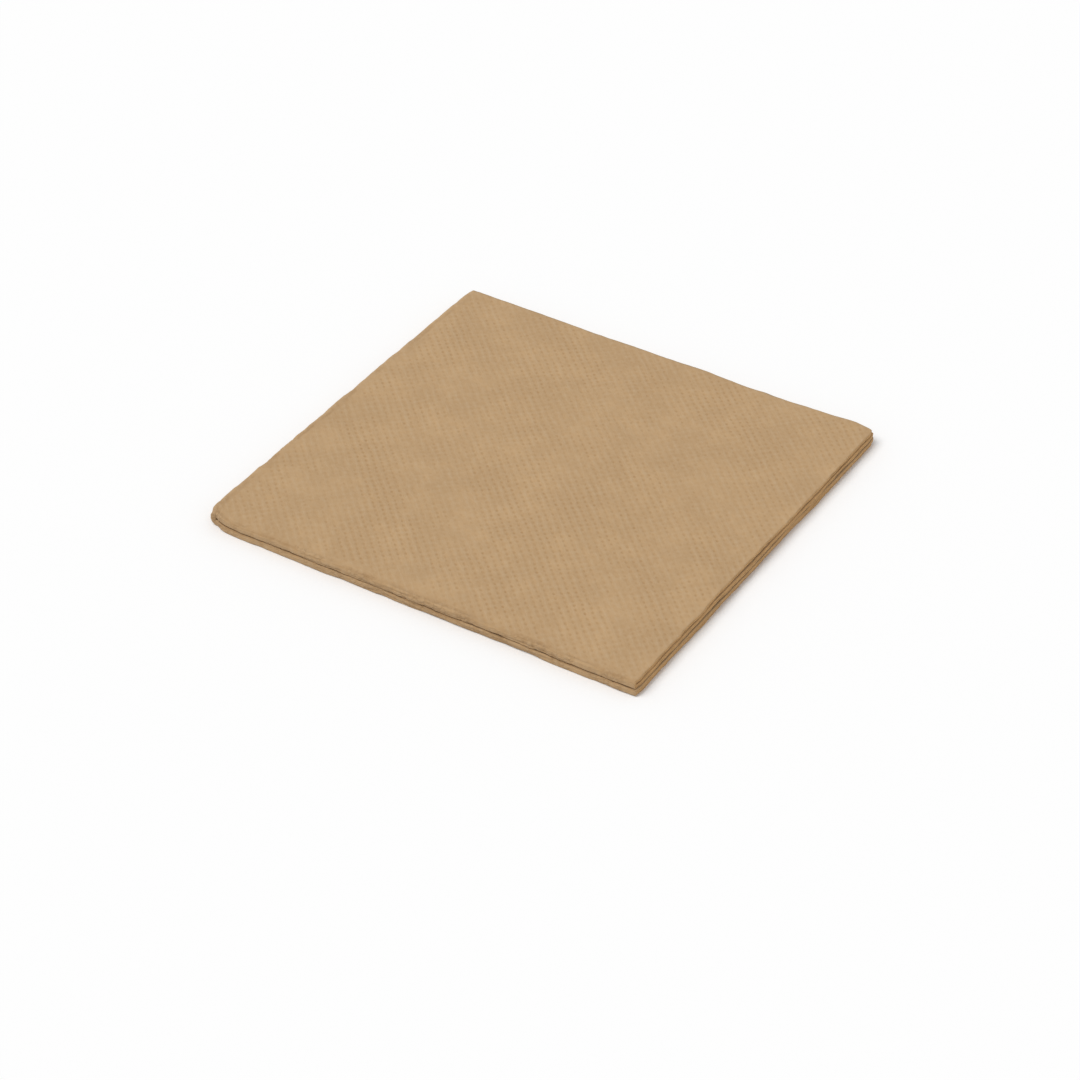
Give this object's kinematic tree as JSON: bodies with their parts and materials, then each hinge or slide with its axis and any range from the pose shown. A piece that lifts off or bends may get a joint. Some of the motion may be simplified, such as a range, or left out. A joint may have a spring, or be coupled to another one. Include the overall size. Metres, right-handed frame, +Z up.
{
  "type": "paper napkin",
  "caption": "Quarter-folded square napkin of soft embossed kraft tissue, for wiping hands and mouth; fold edges closed, cut edges open.",
  "frame": {"origin": "middle of the underside, on the surface that the napkin lies on", "axes": "+Z upwards through the thickness; +X towards the open side across from the second fold; +Y towards the open side across from the first fold"},
  "size_m": [0.1256, 0.1252, 0.0045],
  "materials": {
    "kraft_tissue": "matte unbleached tissue paper with a fine diagonal point emboss"
  },
  "bodies": {
    "root": {"napkin": "kraft_tissue"}
  },
  "joints": []
}
